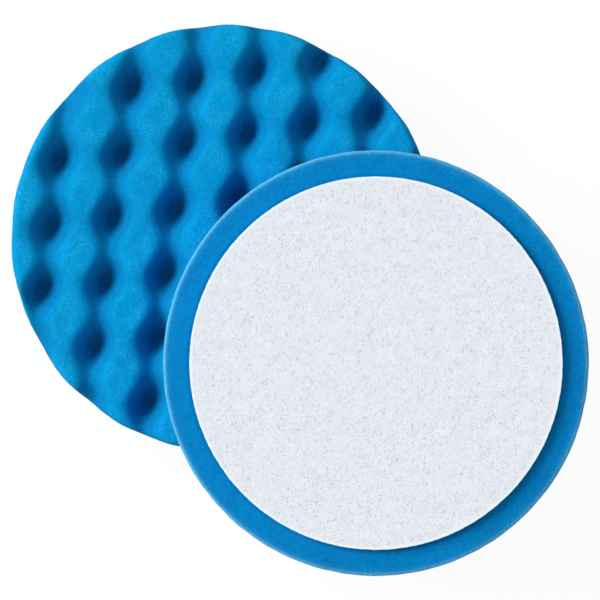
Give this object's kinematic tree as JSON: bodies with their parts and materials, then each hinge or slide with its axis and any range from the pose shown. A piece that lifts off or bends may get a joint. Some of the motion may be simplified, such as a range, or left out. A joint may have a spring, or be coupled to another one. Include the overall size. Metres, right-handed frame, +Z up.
{
  "type": "foam polishing pad pair",
  "caption": "Pair of round waffle-faced foam polishing pads with loop cloth backs, one face up and one face down on it.",
  "frame": {"origin": "centre of the lower pad's loop face, which the pair stands on", "axes": "+Z up, along both pads' spin axes; the upper pad lies towards +X and -Y of the lower one"},
  "size_m": [0.2754, 0.263, 0.0765],
  "materials": {
    "blue_foam": "matt open-cell polyurethane foam",
    "glue_film": "thin heat-bonded adhesive film",
    "stiffener": "pressed white non-woven sheet",
    "loop_cloth": "white napped loop cloth"
  },
  "bodies": {
    "lower_pad": {"lower_foam": "blue_foam", "lower_glue_film": "glue_film", "lower_stiffener": "stiffener", "lower_loop_cloth": "loop_cloth"},
    "upper_pad": {"upper_foam": "blue_foam", "upper_glue_film": "glue_film", "upper_stiffener": "stiffener", "upper_loop_cloth": "loop_cloth"}
  },
  "joints": [
    {"name": "upper_pad_lift", "type": "slide", "parent": "lower_pad", "child": "upper_pad", "axis": [0, 0, 1], "range_m": [0, 0.08]}
  ]
}
